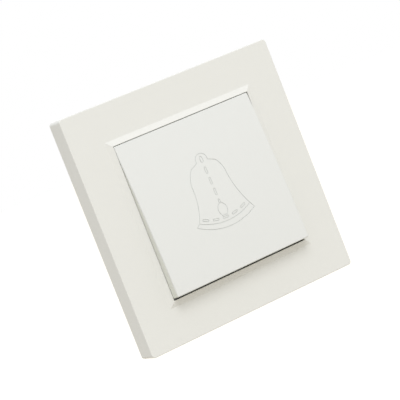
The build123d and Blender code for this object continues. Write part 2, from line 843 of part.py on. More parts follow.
# Contact blade: flat strip with two round pivot stubs and a hole for its rivet
with BuildPart() as contact_blade:
    with BuildSketch(BLADE.offset(-blade_sheet / 2)):
        RectangleRounded(blade_width, 2 * blade_half, blade_corner_r)
        with Locations((0, contact_reach)):
            Circle(contact_shank_r + contact_fit, mode=Mode.SUBTRACT)
    extrude(amount=blade_sheet)
    for stub_side in (-1, 1):
        with BuildSketch(BLADE_SECTION.offset(stub_side * stub_root)):
            Circle(stub_r)
        extrude(amount=stub_side * (ear_outer - stub_root))


# Moving contact: rivet through the end of the blade, head towards the fixed contact
with BuildPart() as moving_contact:
    with BuildSketch(BLADE.offset(-blade_sheet / 2)):
        with Locations((0, contact_reach)):
            Circle(contact_r)
    extrude(amount=-contact_head)
    fillet(moving_contact.faces().sort_by(Axis.Y)[-1].edges(), contact_edge_r)
    with BuildSketch(BLADE.offset(-blade_sheet / 2)):
        with Locations((0, contact_reach)):
            Circle(contact_shank_r)
    extrude(amount=blade_sheet)
    with BuildSketch(BLADE.offset(blade_sheet / 2)):
        with Locations((0, contact_reach)):
            Circle(contact_tail_r)
    extrude(amount=contact_tail)


# Clamp plates and terminal screws, one pair in each bay
tab_back = -bay_floor - strip
clamp_back = tab_back - clamp_plate
clamp_width = strip_width + 2 * (clamp_lip + strip_clearance)


def clamp(side):
    """Clamp plate under the screw head, with a lip down each side of the tab."""
    with BuildPart() as plate:
        with BuildSketch(FRONT.offset(tab_back)):
            with Locations((0, side * terminal_screw_z)):
                Rectangle(clamp_width, clamp_length)
                Circle(clamp_hole_r, mode=Mode.SUBTRACT)
        extrude(amount=-clamp_plate)
        with BuildSketch(FRONT.offset(tab_back)):
            with Locations((0, side * terminal_screw_z)):
                Rectangle(clamp_width, clamp_length)
                Rectangle(clamp_width - 2 * clamp_lip, clamp_length, mode=Mode.SUBTRACT)
        extrude(amount=clamp_lip_height)
    return plate


def terminal_screw(side):
    """Slotted cheese-head screw through the clamp plate and the tab."""
    with BuildPart() as screw:
        with BuildSketch(FRONT.offset(clamp_back)):
            with Locations((0, side * terminal_screw_z)):
                Circle(terminal_head_r)
        extrude(amount=-terminal_head)
        chamfer(screw.faces().sort_by(Axis.Y)[-1].edges(), terminal_bevel)
        with BuildSketch(FRONT.offset(clamp_back)):
            with Locations((0, side * terminal_screw_z)):
                Circle(terminal_screw_r)
        extrude(amount=terminal_reach)
        with BuildSketch(FRONT.offset(clamp_back - terminal_slot_floor)):
            with Locations((0, side * terminal_screw_z)):
                Rectangle(2 * terminal_head_r, terminal_slot)
        extrude(amount=-terminal_head, mode=Mode.SUBTRACT)
    return screw


common_clamp = clamp(-1)
fixed_clamp = clamp(1)
common_screw = terminal_screw(-1)
fixed_screw = terminal_screw(1)


# One file for each piece
pieces = {
    "cover_frame": cover_frame,
    "rocker": rocker,
    "dolly": dolly,
    "plunger": plunger,
    "plunger_spring": plunger_spring,
    "return_spring": return_spring,
    "mounting_strap": mounting_strap,
    "bearing_frame": bearing_frame,
    "mechanism_housing": mechanism_housing,
    "strap_screws": strap_screws,
    "claw_screws": claw_screws,
    "claw_nuts": claw_nuts,
    "claw_left": claw_left,
    "claw_right": claw_right,
    "common_terminal": common_terminal,
    "fixed_terminal": fixed_terminal,
    "fixed_contact": fixed_contact,
    "contact_blade": contact_blade,
    "moving_contact": moving_contact,
    "common_clamp": common_clamp,
    "fixed_clamp": fixed_clamp,
    "common_screw": common_screw,
    "fixed_screw": fixed_screw,
}
for name, piece in pieces.items():
    piece.part.label = name
    export_step(piece.part, f"parts/{name}.step")
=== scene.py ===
import json
import logging
import math
from collections.abc import Callable
from dataclasses import dataclass
from enum import Enum

import bmesh
import bpy
from mathutils import Matrix, Vector

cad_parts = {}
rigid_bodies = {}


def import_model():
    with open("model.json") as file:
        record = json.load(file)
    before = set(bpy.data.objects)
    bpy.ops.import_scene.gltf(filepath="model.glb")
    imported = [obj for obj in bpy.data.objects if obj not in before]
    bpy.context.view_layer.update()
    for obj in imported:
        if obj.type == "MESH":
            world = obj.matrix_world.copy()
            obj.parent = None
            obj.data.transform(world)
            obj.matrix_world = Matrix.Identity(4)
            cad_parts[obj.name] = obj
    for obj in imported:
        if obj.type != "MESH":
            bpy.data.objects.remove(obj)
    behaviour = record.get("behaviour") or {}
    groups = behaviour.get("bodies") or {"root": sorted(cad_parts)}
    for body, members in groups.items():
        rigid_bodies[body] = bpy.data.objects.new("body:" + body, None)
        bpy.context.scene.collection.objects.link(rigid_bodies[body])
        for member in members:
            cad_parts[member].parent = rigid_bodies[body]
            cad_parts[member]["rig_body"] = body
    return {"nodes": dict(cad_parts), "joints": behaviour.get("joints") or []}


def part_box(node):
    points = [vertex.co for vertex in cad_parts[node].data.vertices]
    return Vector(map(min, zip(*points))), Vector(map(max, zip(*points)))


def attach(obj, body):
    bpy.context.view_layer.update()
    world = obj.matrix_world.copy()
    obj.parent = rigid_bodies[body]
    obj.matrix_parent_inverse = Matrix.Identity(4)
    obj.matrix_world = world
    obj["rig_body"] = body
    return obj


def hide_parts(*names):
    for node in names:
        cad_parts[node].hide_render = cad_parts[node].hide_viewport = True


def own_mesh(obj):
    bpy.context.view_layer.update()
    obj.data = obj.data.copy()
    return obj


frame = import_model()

LOG = logging.getLogger("bell_push")
MM = 0.001
SMOOTH_UNDER = math.radians(40.0)
NOISE_MIDDLE = 0.5

Colour = tuple[float, float, float]
AxisValues = tuple[float, float, float]


# Shader maths


class Shade:
    """One shader value: an output socket that takes part in Python arithmetic."""

    def __init__(self, sheet: "NodeSheet", socket: bpy.types.NodeSocket) -> None:
        """Keeps the socket and the sheet that new nodes go on."""
        self.sheet = sheet
        self.socket = socket

    def _math(self, operation: str, *values: "Shade | float") -> "Shade":
        """Adds one Math node.

        Args:
            operation: Name of the Math node's operation.
            values: Sockets or numbers, in the node's order.

        Returns:
            The node's result.
        """
        return self.sheet.node("ShaderNodeMath", {"operation": operation}, dict(enumerate(values)))

    def __add__(self, other: "Shade | float") -> "Shade":
        """Sum of two values."""
        return self._math("ADD", self, other)

    def __radd__(self, other: float) -> "Shade":
        """Sum with a number on the left."""
        return self._math("ADD", other, self)

    def __sub__(self, other: "Shade | float") -> "Shade":
        """Difference of two values."""
        return self._math("SUBTRACT", self, other)

    def __rsub__(self, other: float) -> "Shade":
        """Difference with a number on the left."""
        return self._math("SUBTRACT", other, self)

    def __mul__(self, other: "Shade | float") -> "Shade":
        """Product of two values."""
        return self._math("MULTIPLY", self, other)

    def __rmul__(self, other: float) -> "Shade":
        """Product with a number on the left."""
        return self._math("MULTIPLY", other, self)

    def __pow__(self, other: float) -> "Shade":
        """Power of a value that is never negative."""
        return self._math("POWER", self, other)

    def __abs__(self) -> "Shade":
        """Value without its sign."""
        return self._math("ABSOLUTE", self)

    def sine(self) -> "Shade":
        """Sine of the value in radians."""
        return self._math("SINE", self)

    def larger(self, other: "Shade | float") -> "Shade":
        """The larger of two values."""
        return self._math("MAXIMUM", self, other)

    def ramp(self, low: float, high: float) -> "Shade":
        """Smooth step from 0 at low to 1 at high.

        Args:
            low: Value at which the step starts.
            high: Value at which the step ends; below low, the step falls.

        Returns:
            The step, from 0 to 1.
        """
        settings = {"interpolation_type": "SMOOTHSTEP"}
        if low <= high:
            return self.sheet.node("ShaderNodeMapRange", settings, {0: self, 1: low, 2: high})
        return 1.0 - self.sheet.node("ShaderNodeMapRange", settings, {0: self, 1: high, 2: low})


class NodeSheet:
    """A node tree that is filled from code."""

    def __init__(self, tree: bpy.types.NodeTree) -> None:
        """Keeps the tree that nodes are added to."""
        self.tree = tree

    def node(
        self,
        kind: str,
        settings: dict[str, object] | None = None,
        inputs: dict[str | int, object] | None = None,
        output: str | int = 0,
    ) -> Shade:
        """Adds any node.

        Args:
            kind: Blender's type name of the node.
            settings: Properties of the node, set before its sockets.
            inputs: Values or links of its sockets, by name or number.
            output: Name or number of the socket to return.

        Returns:
            The chosen output.
        """
        made = self.tree.nodes.new(kind)
        for name, value in (settings or {}).items():
            setattr(made, name, value)
        self.feed(made, inputs or {})
        return Shade(self, made.outputs[output])

    def feed(self, target: bpy.types.Node, inputs: dict[str | int, object]) -> None:
        """Sets or links sockets of a node.

        Args:
            target: Node whose sockets are fed.
            inputs: Values or links, by socket name or number.
        """
        for key, value in inputs.items():
            if isinstance(value, Shade):
                self.tree.links.new(value.socket, target.inputs[key])
            else:
                target.inputs[key].default_value = value

    def blend(self, factor: Shade, low: Colour | Shade, high: Colour | Shade) -> Shade:
        """Mixes two colours.

        Args:
            factor: 0 for the first colour, 1 for the second.
            low: First colour.
            high: Second colour.

        Returns:
            The mixed colour.
        """
        ends = [end if isinstance(end, Shade) else (*end, 1.0) for end in (low, high)]
        # Inputs 6 and 7 and output 2 of this node are its colours
        return self.node("ShaderNodeMix", {"data_type": "RGBA"}, {0: factor, 6: ends[0], 7: ends[1]}, 2)


class MaterialSheet(NodeSheet):
    """Node sheet of one material, read from the piece's own coordinates."""

    def __init__(self, name: str) -> None:
        """Makes the material with its surface shader."""
        self.material = bpy.data.materials.new(name)
        self.material.use_nodes = True
        super().__init__(self.material.node_tree)
        self.surface = self.tree.nodes["Principled BSDF"]
        self.place = self.node("ShaderNodeTexCoord", output="Object")

    def split(self, vector: Shade) -> tuple[Shade, Shade, Shade]:
        """The three parts of a vector."""
        parts = self.node("ShaderNodeSeparateXYZ", inputs={0: vector}).socket.node.outputs
        return Shade(self, parts[0]), Shade(self, parts[1]), Shade(self, parts[2])

    def axes(self) -> tuple[Shade, Shade, Shade]:
        """The X, Y and Z coordinates, in metres."""
        return self.split(self.place)

    def noise(self, grain: float, detail: float = 2.0, stretch: AxisValues = (1.0, 1.0, 1.0)) -> Shade:
        """Soft noise.

        Args:
            grain: Size of a blotch, in metres.
            detail: Octaves of finer noise on it.
            stretch: How much longer a blotch is along each axis.

        Returns:
            Noise from 0 to 1, with its middle near a half.
        """
        scale = tuple(1.0 / (grain * longer) for longer in stretch)
        spot = self.node("ShaderNodeMapping", inputs={"Vector": self.place, "Scale": scale})
        return self.node("ShaderNodeTexNoise", inputs={"Vector": spot, "Scale": 1.0, "Detail": detail})

    def cells(self, size: float) -> tuple[Shade, Shade]:
        """Two random values for each cell of a crystal pattern.

        Args:
            size: Size of a cell, in metres.

        Returns:
            Two values from 0 to 1 that are even over a cell.
        """
        inputs = {"Vector": self.place, "Scale": 1.0 / size}
        cell = self.node("ShaderNodeTexVoronoi", inputs=inputs, output="Color")
        first, second, _ = self.split(cell)
        return first, second

    def bump(self, height: Shade, strength: float, distance: float) -> Shade:
        """Normal bent by a height.

        Args:
            height: Height from 0 to 1.
            strength: Share of the bump that is used.
            distance: Height of the relief, in metres.

        Returns:
            The bent normal.
        """
        inputs = {"Strength": strength, "Distance": distance, "Height": height}
        return self.node("ShaderNodeBump", inputs=inputs, output="Normal")


def seen_rays(sheet: NodeSheet) -> Shade:
    """1 for rays that show the background itself, straight or in gloss or glass, and 0 for its light.

    Args:
        sheet: Sheet of the floor or the sky.

    Returns:
        The switch, 0 or 1.
    """
    seen = sheet.node("ShaderNodeLightPath", output="Is Camera Ray")
    rays = seen.socket.node.outputs
    for name in ("Is Glossy Ray", "Is Transmission Ray"):
        seen = seen.larger(Shade(sheet, rays[name]))
    return seen


def scaled(colour: Colour, factor: float) -> Colour:
    """The colour times a factor."""
    return (colour[0] * factor, colour[1] * factor, colour[2] * factor)


def spread(colour: Colour, share: float) -> tuple[Colour, Colour]:
    """The colour made darker and lighter by a share."""
    return scaled(colour, 1 - share), scaled(colour, 1 + share)


# Finishes


@dataclass(frozen=True)
class MouldedPlastic:
    """Injection-moulded plastic with a fine eroded grain, cloudy tone and soft gloss."""

    name: str
    colour: Colour
    roughness: float
    cloud: float = 0.010
    cloud_size: float = 9 * MM
    cloud_share: float = 0.6
    speck_size: float = 0.5 * MM
    grain_size: float = 0.16 * MM
    grain_relief: float = 0.006 * MM
    grain_strength: float = 0.4
    gloss_size: float = 3 * MM
    gloss_spread: float = 0.10
    refraction: float = 1.5

    def tone(self, sheet: MaterialSheet) -> Shade:
        """Base colour with its soft cloudiness.

        Args:
            sheet: Sheet of the material.

        Returns:
            The colour over the surface.
        """
        clouds = self.cloud_share * sheet.noise(self.cloud_size)
        specks = (1 - self.cloud_share) * sheet.noise(self.speck_size, detail=1.0)
        return sheet.blend(clouds + specks, *spread(self.colour, self.cloud))

    def material(self) -> bpy.types.Material:
        """The finished material."""
        sheet = MaterialSheet(self.name)
        grain = sheet.noise(self.grain_size, detail=1.0)
        gloss = self.roughness + self.gloss_spread * (sheet.noise(self.gloss_size) - NOISE_MIDDLE)
        inputs = {
            "Base Color": self.tone(sheet),
            "Roughness": gloss,
            "Normal": sheet.bump(grain, self.grain_strength, self.grain_relief),
            "IOR": self.refraction,
        }
        sheet.feed(sheet.surface, inputs)
        return sheet.material


@dataclass(frozen=True)
class EngravedPlastic(MouldedPlastic):
    """Moulded plastic with a grey tint in its engraved lines, partly print tone and partly painted groove
    shade, and painted warm shade on the skirt below its cambered face.

    The lines' tint sets in, is full, fades and is gone at shares of their depth.
    """

    # Grey of the engraved lines: partly their print tone and partly painted shade of the groove
    tint: Colour = (0.666, 0.689, 0.675)
    pivot_depth: float = 4.6 * MM
    tilt: float = math.radians(4.1)
    crown: float = 6.85 * MM
    camber_r: float = 571.5 * MM
    line_depth: float = 0.15 * MM
    tint_starts: float = 0.2
    tint_full: float = 0.8
    tint_fades: float = 1.5
    tint_gone: float = 2.0
    figure_half_width: float = 13.5 * MM
    figure_fade: float = 1.05
    # Warmer colour of the skirt and the faces sunk below the cambered face: painted warm shade, not a second
    # plastic
    skirt: Colour = (0.757, 0.773, 0.720)
    skirt_shade_starts: float = 0.3 * MM
    skirt_shade_full: float = 0.8 * MM

    def tone(self, sheet: MaterialSheet) -> Shade:
        """Base colour with the tint in the engraved lines, partly print tone and partly painted groove
        shade, and the painted warm shade on the skirt.

        Args:
            sheet: Sheet of the material.

        Returns:
            The colour over the surface.
        """
        x, y, z = sheet.axes()
        out = (-self.pivot_depth - y) * math.cos(self.tilt) + z * math.sin(self.tilt)
        along = (y + self.pivot_depth) * math.sin(self.tilt) + z * math.cos(self.tilt)
        sunk = self.crown - along * along * (0.5 / self.camber_r) - out
        # Mask of the engraved lines, where the grey print tone and painted groove shade go
        below = sunk.ramp(self.tint_starts * self.line_depth, self.tint_full * self.line_depth)
        above = sunk.ramp(self.tint_gone * self.line_depth, self.tint_fades * self.line_depth)
        inside = abs(x).ramp(self.figure_fade * self.figure_half_width, self.figure_half_width)
        # Faces sunk well below the cambered face, the skirt and hidden walls, get painted warm shade
        skirt_shade_mask = sunk.ramp(self.skirt_shade_starts, self.skirt_shade_full)
        plain = sheet.blend(skirt_shade_mask, super().tone(sheet), self.skirt)
        return sheet.blend(below * above * inside, plain, self.tint)


class Lay(Enum):
    """How a metal surface got its fine marks."""

    SPANGLE = "plated crystals"
    ROLLED = "lines along a rolled strip"
    TURNED = "rings round a turned head"
    DRAWN = "streaks of drawn wire"


@dataclass(frozen=True)
class BareMetal:
    """Metal with the fine marks of how it was made."""

    name: str
    colour: Colour
    roughness: float
    lay: Lay
    mark_size: float = 0.25 * MM
    contrast: float = 0.10
    relief: float = 0.004 * MM
    relief_strength: float = 0.5
    rolled_stretch: AxisValues = (1.0, 14.0, 14.0)
    drawn_stretch: AxisValues = (3.0, 1.0, 3.0)
    gloss_spread: float = 0.12
    stain: float = 0.12
    stain_size: float = 5 * MM
    stain_shade: float = 0.55
    stain_starts: float = 0.5
    stain_full: float = 0.8
    stain_gloss_spread: float = 0.15
    heads_at: tuple[float, float] = (0.0, 0.0)

    def marks(self, sheet: MaterialSheet) -> tuple[Shade, Shade]:
        """The pattern of the lay.

        Args:
            sheet: Sheet of the material.

        Returns:
            A tone and a gloss value, both from 0 to 1.
        """
        if self.lay is Lay.SPANGLE:
            return sheet.cells(self.mark_size)
        if self.lay is Lay.ROLLED:
            lines = sheet.noise(self.mark_size, detail=3.0, stretch=self.rolled_stretch)
            return lines, lines
        if self.lay is Lay.TURNED:
            x, _, z = sheet.axes()
            across = abs(x) - self.heads_at[0]
            up = abs(z) - self.heads_at[1]
            radius = (across * across + up * up) ** 0.5
            rings = 0.5 + 0.5 * (radius * (2 * math.pi / self.mark_size)).sine()
            return 0.5 * rings + 0.5 * sheet.noise(self.mark_size), rings
        streaks = sheet.noise(self.mark_size, stretch=self.drawn_stretch)
        return streaks, sheet.noise(self.mark_size)

    def material(self) -> bpy.types.Material:
        """The finished material."""
        sheet = MaterialSheet(self.name)
        tone, gloss = self.marks(sheet)
        stain = sheet.noise(self.stain_size, detail=3.0)
        bare = sheet.blend(tone, *spread(self.colour, self.contrast))
        stained = stain.ramp(self.stain_starts, self.stain_full) * self.stain
        mark_gloss = self.gloss_spread * (gloss - NOISE_MIDDLE)
        stain_gloss = self.stain_gloss_spread * (stain - NOISE_MIDDLE)
        inputs = {
            "Base Color": sheet.blend(stained, bare, scaled(self.colour, self.stain_shade)),
            "Metallic": 1.0,
            "Roughness": self.roughness + mark_gloss + stain_gloss,
            "Normal": sheet.bump(gloss, self.relief_strength, self.relief),
        }
        sheet.feed(sheet.surface, inputs)
        return sheet.material


# Modelling by hand tools


class Bench:
    """Steps that every modelled piece shares."""

    @staticmethod
    def clear() -> None:
        """Leaves edit mode and deselects everything."""
        if bpy.context.object and bpy.context.object.mode != "OBJECT":
            bpy.ops.object.mode_set(mode="OBJECT")
        bpy.ops.object.select_all(action="DESELECT")

    @staticmethod
    def edit() -> None:
        """Goes into edit mode on the active piece, with nothing selected."""
        bpy.ops.object.mode_set(mode="EDIT")
        bpy.ops.mesh.select_all(action="DESELECT")

    @staticmethod
    def pick_edges(test: Callable[[Vector, Vector], bool]) -> None:
        """Selects edges of the piece in edit mode by their two ends.

        Args:
            test: Says whether an edge between two points is wanted.
        """
        bpy.ops.mesh.select_mode(type="EDGE")
        bpy.ops.mesh.select_all(action="DESELECT")
        shape = bmesh.from_edit_mesh(bpy.context.object.data)
        for edge in shape.edges:
            edge.select_set(test(edge.verts[0].co, edge.verts[1].co))
        bmesh.update_edit_mesh(bpy.context.object.data)

    @staticmethod
    def pick_faces(test: Callable[[Vector, Vector], bool]) -> None:
        """Selects faces of the piece in edit mode by middle and normal.

        Args:
            test: Says whether a face with this middle and normal is wanted.
        """
        bpy.ops.mesh.select_mode(type="FACE")
        bpy.ops.mesh.select_all(action="DESELECT")
        shape = bmesh.from_edit_mesh(bpy.context.object.data)
        for face in shape.faces:
            face.select_set(test(face.calc_center_median(), face.normal))
        bmesh.update_edit_mesh(bpy.context.object.data)

    @staticmethod
    def settle() -> None:
        """Puts the active piece's place, turn and scale into its mesh."""
        bpy.ops.object.transform_apply(location=True, rotation=True, scale=True)

    @staticmethod
    def finish(piece: bpy.types.Object, name: str, material: bpy.types.Material) -> None:
        """Names and dresses a modelled piece and shades its round faces smooth.

        Args:
            piece: The modelled piece, active and selected.
            name: Its name.
            material: Its finish.
        """
        piece.name = name
        piece.data.name = name
        piece.data.materials.clear()
        piece.data.materials.append(material)
        bpy.ops.object.shade_smooth_by_angle(angle=SMOOTH_UNDER)
        Bench.clear()


def dress(material: bpy.types.Material, *nodes: str) -> None:
    """Gives CAD nodes a finish.

    Args:
        material: The finish.
        nodes: Names of the nodes.
    """
    for name in nodes:
        node = frame["nodes"][name]
        node.material_slots[0].material = material
        LOG.info("%s: dressed in %s", name, material.name)


@dataclass
class CoilSpring:
    """Compression spring with a closed turn at each end, wound where its node stands."""

    node: str
    axis: Vector
    wire: float
    turns: int
    closed_turns: float = 1.0
    end_pitch: float = 1.03
    steps: int = 26
    sides: int = 12

    def size(self) -> tuple[Vector, float, float]:
        """Middle, length along the axis and mean radius, from the node's box."""
        low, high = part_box(self.node)
        outer = (high.x - low.x) / 2
        lean = math.hypot(self.axis.x, self.axis.z)
        length = (high.y - low.y - 2 * outer * lean) / abs(self.axis.y)
        return (low + high) / 2, length, outer - self.wire / 2

    def rise(self, turn: float, length: float) -> float:
        """Rise of the wire in one step.

        Args:
            turn: How many turns are wound so far.
            length: Length of the spring.

        Returns:
            The rise, in metres.
        """
        closed = self.end_pitch * self.wire
        open_turns = self.turns - 2 * self.closed_turns
        opened = (length - self.wire - 2 * self.closed_turns * closed) / open_turns
        ends = turn < self.closed_turns or turn > self.turns - self.closed_turns
        return (closed if ends else opened) / self.steps

    def wind(self, name: str, material: bpy.types.Material) -> bpy.types.Object:
        """Winds the wire and lays it along the axis.

        Args:
            name: Name of the new piece.
            material: Finish of the wire.

        Returns:
            The spring.
        """
        middle, length, mean_r = self.size()
        Bench.clear()
        bpy.ops.mesh.primitive_circle_add(
            vertices=self.sides,
            radius=self.wire / 2,
            fill_type="NGON",
            location=(mean_r, 0.0, (self.wire - length) / 2),
            rotation=(math.pi / 2, 0.0, 0.0),
        )
        piece = bpy.context.object
        Bench.settle()
        Bench.edit()
        bpy.ops.mesh.select_all(action="SELECT")
        for step in range(self.turns * self.steps):
            rise = self.rise((step + 0.5) / self.steps, length)
            bpy.ops.mesh.extrude_region_move(TRANSFORM_OT_translate={"value": (0.0, 0.0, rise)})
            bpy.ops.transform.rotate(
                value=-2 * math.pi / self.steps, orient_axis="Z", center_override=(0.0, 0.0, 0.0)
            )
        bpy.ops.mesh.select_all(action="SELECT")
        bpy.ops.mesh.normals_make_consistent(inside=False)
        bpy.ops.object.mode_set(mode="OBJECT")
        turn = self.axis.to_track_quat("Z", "X").to_matrix()
        piece.matrix_world = Matrix.Translation(middle) @ turn.to_4x4()
        Bench.settle()
        Bench.finish(piece, name, material)
        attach(piece, frame["nodes"][self.node]["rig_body"])
        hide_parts(self.node)
        LOG.info("%s: %d turns of wire, %.2f mm long", name, self.turns, length / MM)
        return piece


@dataclass
class ThreadedScrews:
    """Pan-head screws with a cut thread, one on each side of the middle.

    The cutter of the driver slot is some head radii long and stands over the head by a share of the
    slot's depth.
    """

    node: str
    seat: float = 1.0 * MM
    shank_r: float = 1.2 * MM
    pitch: float = 0.45 * MM
    thread_depth: float = 0.26 * MM
    tip: float = 0.7 * MM
    tip_taper: float = 0.35
    slot_width: float = 0.7 * MM
    slot_floor: float = 0.7 * MM
    slot_turn: float = math.pi / 4
    cutter_length: float = 3.0
    cutter_over: float = 1 / 3
    dome: float = 0.62 * MM
    dome_steps: int = 5
    sides: int = 28
    coarse_cuts: int = 19
    fine_cuts: int = 11
    slack: float = 0.01 * MM
    facing: float = 0.9

    def on_shank(self, point: Vector, centre: float) -> bool:
        """Whether a point lies on the shank's side or tip."""
        radius = math.hypot(point.x - centre, point.z)
        return radius < self.shank_r + self.slack and point.y > -self.seat - self.slack

    def runs_along_shank(self, start: Vector, stop: Vector, centre: float) -> bool:
        """Whether an edge lies on the shank and runs along it."""
        both = self.on_shank(start, centre) and self.on_shank(stop, centre)
        return both and abs(start.y - stop.y) > self.slack

    def cut_thread(self, piece: bpy.types.Object, centre: float, end: float) -> None:
        """Moves the shank's points onto a helical thread with a tapered tip.

        Args:
            piece: The screw.
            centre: X of its axis.
            end: Y of its tip.
        """
        for vertex in piece.data.vertices:
            point = vertex.co
            if not self.on_shank(point, centre):
                continue
            angle = math.atan2(point.z, point.x - centre)
            phase = (point.y / self.pitch + angle / (2 * math.pi)) % 1.0
            groove = abs(2 * phase - 1)
            start = min(1.0, max(0.0, (point.y + self.seat) / self.pitch))
            taper = max(0.0, (point.y - end + self.tip) / self.tip)
            shrink = 1 - self.thread_depth * groove * start / self.shank_r - self.tip_taper * taper
            vertex.co = (centre + (point.x - centre) * shrink, point.y, point.z * shrink)

    def cut_slot(self, piece: bpy.types.Object, centre: float, head_r: float, head_top: float) -> None:
        """Cuts the driver slot across the head.

        Args:
            piece: The screw.
            centre: X of its axis.
            head_r: Radius of the head.
            head_top: Y of the head's top.
        """
        Bench.clear()
        floor = -self.seat - self.slot_floor
        height = (floor - head_top) * (1 + self.cutter_over)
        bpy.ops.mesh.primitive_cube_add(
            size=1.0,
            location=(centre, floor - height / 2, 0.0),
            rotation=(0.0, self.slot_turn, 0.0),
            scale=(self.cutter_length * head_r, height, self.slot_width),
        )
        cutter = bpy.context.object
        Bench.settle()
        Bench.clear()
        bpy.context.view_layer.objects.active = piece
        piece.select_set(True)
        cut = piece.modifiers.new("slot", "BOOLEAN")
        cut.operation = "DIFFERENCE"
        cut.solver = "EXACT"
        cut.object = cutter
        bpy.ops.object.modifier_apply(modifier=cut.name)
        bpy.data.objects.remove(cutter)

    def turn(self, name: str, material: bpy.types.Material) -> bpy.types.Object:
        """Turns one screw, threads it and copies it to the other side.

        Args:
            name: Name of the new piece.
            material: Finish of the screws.

        Returns:
            Both screws as one piece.
        """
        low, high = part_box(self.node)
        head_r = (high.z - low.z) / 2
        centre = high.x - head_r
        head_top, end = low.y, high.y
        Bench.clear()
        bpy.ops.mesh.primitive_cylinder_add(
            vertices=self.sides,
            radius=head_r,
            depth=-self.seat - head_top,
            location=(centre, (head_top - self.seat) / 2, 0.0),
            rotation=(math.pi / 2, 0.0, 0.0),
        )
        piece = bpy.context.object
        Bench.settle()
        Bench.edit()
        Bench.pick_edges(lambda a, b: max(a.y, b.y) < head_top + self.slack)
        bpy.ops.mesh.bevel(offset=self.dome, segments=self.dome_steps, affect="EDGES")
        under = -self.seat - self.slack
        Bench.pick_faces(lambda middle, normal: normal.y > self.facing and middle.y > under)
        bpy.ops.mesh.inset(thickness=head_r - self.shank_r)
        bpy.ops.mesh.extrude_region_move(TRANSFORM_OT_translate={"value": (0.0, end + self.seat, 0.0)})
        for cuts in (self.coarse_cuts, self.fine_cuts):
            Bench.pick_edges(lambda a, b: self.runs_along_shank(a, b, centre))
            bpy.ops.mesh.subdivide(number_cuts=cuts)
        bpy.ops.object.mode_set(mode="OBJECT")
        self.cut_thread(piece, centre, end)
        self.cut_slot(piece, centre, head_r, head_top)
        bpy.ops.object.duplicate(linked=False)
        bpy.ops.transform.translate(value=(-2 * centre, 0.0, 0.0))
        piece.select_set(True)
        bpy.context.view_layer.objects.active = piece
        bpy.ops.object.join()
        Bench.settle()
        Bench.finish(piece, name, material)
        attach(piece, frame["nodes"][self.node]["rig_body"])
        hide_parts(self.node)
        LOG.info("%s: %.2f mm pitch", name, self.pitch / MM)
        return piece


# Sub-assemblies


@dataclass
class CoverFrame:
    """Square frame on the wall with a sloped rim round its opening."""

    plastic: MouldedPlastic = MouldedPlastic("cover_plastic_warm_white", (0.772, 0.781, 0.756), 0.42)

    def dress(self) -> None:
        """Gives the frame its warm white plastic."""
        dress(self.plastic.material(), "cover_frame")


@dataclass
class RockerCap:
    """Cambered rocker with the engraved bell."""

    plastic: EngravedPlastic = EngravedPlastic("rocker_plastic_cool_white", (0.758, 0.776, 0.766), 0.36)

    def dress(self) -> None:
        """Gives the rocker its white plastic, with lines tinted partly as print and partly as painted shade,
        and painted warm shade on its skirt.
        """
        dress(self.plastic.material(), "rocker")


@dataclass
class Cradle:
    """Dolly that tilts with the rocker, its plunger and the two coil springs."""

    dolly_plastic: MouldedPlastic = MouldedPlastic("dolly_plastic_natural", (0.62, 0.60, 0.54), 0.45)
    plunger_plastic: MouldedPlastic = MouldedPlastic("plunger_plastic_white", (0.74, 0.74, 0.71), 0.3)
    wire_steel: BareMetal = BareMetal("spring_wire_steel", (0.52, 0.52, 0.53), 0.30, Lay.DRAWN)
    return_wire: float = 0.6 * MM
    return_turns: int = 6
    return_keep: float = 0.84
    plunger_wire: float = 0.4 * MM
    plunger_turns: int = 7
    plunger_keep: float = 0.88

    def build(self) -> None:
        """Winds both springs."""
        wire = self.wire_steel.material()
        outward = Vector((0.0, -1.0, 0.0))
        back = CoilSpring("return_spring", outward, self.return_wire, self.return_turns)
        coil = back.wind("return_coil", wire)
        low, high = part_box("return_spring")
        seat = Vector(((low.x + high.x) / 2, high.y, (low.z + high.z) / 2))
        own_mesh(coil)
        slide = next(joint for joint in frame["joints"] if joint["name"] == "plunger_slide")
        axis = Vector(slide["axis"]).normalized()
        inner = CoilSpring("plunger_spring", axis, self.plunger_wire, self.plunger_turns)
        coil = inner.wind("plunger_coil", wire)
        middle, length, _ = inner.size()
        seat = middle + axis * (length / 2)
        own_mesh(coil)

    def dress(self) -> None:
        """Gives the dolly and the plunger their plastics."""
        dress(self.dolly_plastic.material(), "dolly")
        dress(self.plunger_plastic.material(), "plunger")


@dataclass
class StrapAssembly:
    """Mounting strap with its two expansion claws, their screws and nuts."""

    strap_zinc: BareMetal = BareMetal(
        "strap_zinc_plate", (0.66, 0.67, 0.68), 0.34, Lay.SPANGLE, mark_size=2.2 * MM, contrast=0.05
    )
    claw_zinc: BareMetal = BareMetal(
        "claw_zinc_plate", (0.63, 0.62, 0.58), 0.36, Lay.SPANGLE, mark_size=1.2 * MM, contrast=0.05
    )
    screw_x: float = 24.5 * MM
    screw_steel: BareMetal = BareMetal(
        "claw_screw_steel", (0.60, 0.60, 0.60), 0.30, Lay.TURNED, heads_at=(screw_x, 0.0)
    )

    def build(self) -> None:
        """Makes the threaded claw screws."""
        screws = ThreadedScrews("claw_screws").turn("claw_screws_threaded", self.screw_steel.material())

    def dress(self) -> None:
        """Gives the sheet pieces and the nuts their plating."""
        dress(self.strap_zinc.material(), "mounting_strap")
        dress(self.claw_zinc.material(), "claw_left", "claw_right", "claw_nuts")


